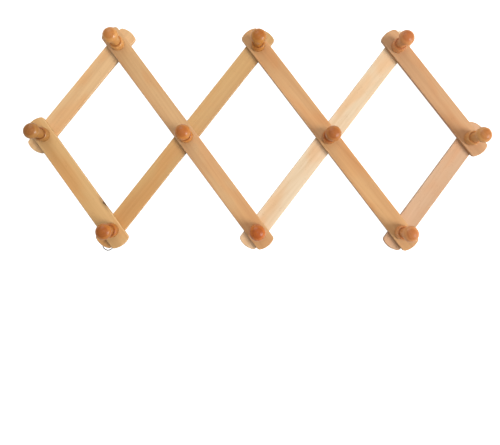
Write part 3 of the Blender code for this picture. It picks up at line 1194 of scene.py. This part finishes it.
def loopPath():
    # middle of the wire, from one cut end behind the eye round the loop to the other
    shape = loopShape
    eye, bend, end = shape["eyeRadius"], shape["neckBend"], shape["endRadius"]
    bendY = shape["neckHalfWidth"] + bend
    bendX = math.sqrt((eye + bend) ** 2 - bendY**2)
    endX = shape["reach"] - end
    spread = math.asin((bend + end) / math.hypot(endX - bendX, bendY))
    spread = math.degrees(spread - math.atan2(bendY, endX - bendX))
    opening = math.degrees(math.atan2(bendY, bendX))
    upper = arcPoints((0, 0), eye, 180 - shape["seam"], opening, shape["roundSteps"])
    upper += arcPoints((bendX, bendY), bend, 180 + opening, 270 + spread, shape["neckSteps"])[1:]
    upper += arcPoints((endX, 0), end, 90 + spread, 0, shape["roundSteps"])
    return upper + [(x, -y) for x, y in reversed(upper[:-1])]


def modelLoop():
    path = [(x, y, 0) for x, y in loopPath()]
    piece = drawWire("wireLoop", path, loopShape["wireRadius"], loopShape["wireRoundness"])
    smoothBy(piece, loopShape["smoothAngle"])
    return piece


def makeHardware():
    screw, washer, loop = modelScrew(), modelWasher(), modelLoop()
    screwMaterial = platedSteel("screwSteel", screwSteel)
    washerMaterial = platedSteel("washerSteel", washerSteel)
    loopMaterial = platedSteel("loopSteel", loopSteel)
    for index, name in enumerate(pivotNames):
        place = pivotPlaces[name].copy()
        place.z = 0
        piece = copyTo(screw, f"screw_{name}_steel", place, screwShape["turnEach"] * index)
        fitOut(piece, "screw_" + name, screwMaterial)
        if "washer_" + name in frame["nodes"]:
            turnBy = washerShape["turnEach"] * index
            piece = copyTo(washer, f"washer_{name}_steel", place, turnBy)
            fitOut(piece, "washer_" + name, washerMaterial)
    for node, (pivot, heading) in loopPlaces.items():
        place = pivotPlaces[pivot].copy()
        place.z = boxOf(node)[2].z
        piece = copyTo(loop, node + "_wire", place, heading)
        fitOut(piece, node, loopMaterial)
    for blank in (screw, washer, loop):
        discard(blank)


makeHardware()
print("screws, washers and loops made")


# floor, light and camera

studio = {
    "floorColour": (0.62, 0.62, 0.62),
    "floorGlow": 0.03,
    "floorSeenGlow": 0.95,  # added where the camera looks straight at it
    "floorSize": 12.0,
    "floorRoughness": 0.6,
    "floorSpecular": 0.2,
    "mottleColour": (0.5, 0.5, 0.5),
    "mottleScale": 6,
    "mottleShare": 0.05,
    "zenith": 0.44,
    "horizon": 0.40,
    "skyRise": (0.15, 0.95),
    "lamps": [
        # name, place, size, watts
        ("keyLamp", (1.85, -0.70, 1.45), 1.3, 54.0),
        ("topLamp", (0.026, 0.164, 1.45), 0.26, 1.6),
        ("fillLamp", (-0.8, 2.1, 1.7), 2.0, 30.0),
    ],
}


def makeFloor():
    deselectAll()
    bpy.ops.mesh.primitive_plane_add(size=studio["floorSize"], location=(0, 0, cadLow.z))
    floor = bpy.context.object
    floor.name = "floor"
    applyPlace(floor)
    material, tree, shader = startMaterial("paleFloor")
    shader["Roughness"].default_value = studio["floorRoughness"]
    shader["Specular IOR Level"].default_value = studio["floorSpecular"]
    mottle = noise(tree, mapped(tree, "Object"), studio["mottleScale"])
    mottle = calc(tree, "MULTIPLY", mottle, studio["mottleShare"])
    pale, dim = (*studio["floorColour"], 1), (*studio["mottleColour"], 1)
    tree.links.new(mixColour(tree, mottle, pale, dim), shader["Base Color"])
    shader["Emission Color"].default_value = (1, 1, 1, 1)
    # the floor is bright to the camera alone, so it doesn't light the slats from below
    seen = tree.nodes.new("ShaderNodeLightPath").outputs["Is Camera Ray"]
    glow = calc(tree, "MULTIPLY_ADD", seen, studio["floorSeenGlow"], studio["floorGlow"])
    tree.links.new(glow, shader["Emission Strength"])
    floor.data.materials.append(material)


def makeLights():
    for name, place, size, power in studio["lamps"]:
        lamp = bpy.data.lights.new(name, "AREA")
        lamp.shape = "DISK"
        lamp.size = size
        lamp.energy = power
        holder = bpy.data.objects.new(name, lamp)
        holder.location = place
        holder.rotation_euler = (-Vector(place)).to_track_quat("-Z", "Y").to_euler()
        bpy.context.scene.collection.objects.link(holder)
    # a room that is a little brighter overhead than round its walls
    world = bpy.data.worlds.new("studioSky")
    world.use_nodes = True
    tree = world.node_tree
    heading = tree.nodes.new("ShaderNodeTexCoord").outputs["Generated"]
    rise = calc(tree, "ABSOLUTE", axes(tree, heading)[2])
    strength = ease(tree, rise, *studio["skyRise"], studio["horizon"], studio["zenith"])
    # seen straight, the room is as white as the floor
    seen = tree.nodes.new("ShaderNodeLightPath").outputs["Is Camera Ray"]
    strength = calc(tree, "MAXIMUM", strength, seen)
    tree.links.new(strength, tree.nodes["Background"].inputs["Strength"])
    tree.nodes["Background"].inputs["Color"].default_value = (1, 1, 1, 1)
    bpy.context.scene.world = world
    bpy.context.scene.view_settings.view_transform = "Standard"


cameraSetting = {
    "place": (-0.0123, -0.0774, 0.6829),
    "tilt": math.radians(5.845),
    "sideTilt": math.radians(-0.353),
    "roll": math.radians(0.456),
    "lens": 40.74,
    "sensor": 36.0,
    "rise": -0.154,
    "clip": (0.01, 50.0),
}


def makeCamera():
    camera = bpy.data.cameras.new("mainCamera")
    camera.lens = cameraSetting["lens"]
    camera.sensor_width = cameraSetting["sensor"]
    camera.clip_start, camera.clip_end = cameraSetting["clip"]
    camera.shift_y = cameraSetting["rise"]
    holder = bpy.data.objects.new("mainCamera", camera)
    turning = (
        Matrix.Rotation(cameraSetting["roll"], 4, "Z")
        @ Matrix.Rotation(cameraSetting["sideTilt"], 4, "Y")
        @ Matrix.Rotation(cameraSetting["tilt"], 4, "X")
    )
    holder.matrix_world = Matrix.Translation(cameraSetting["place"]) @ turning
    bpy.context.scene.collection.objects.link(holder)
    bpy.context.scene.camera = holder


makeFloor()
makeLights()
makeCamera()
print("studio ready")
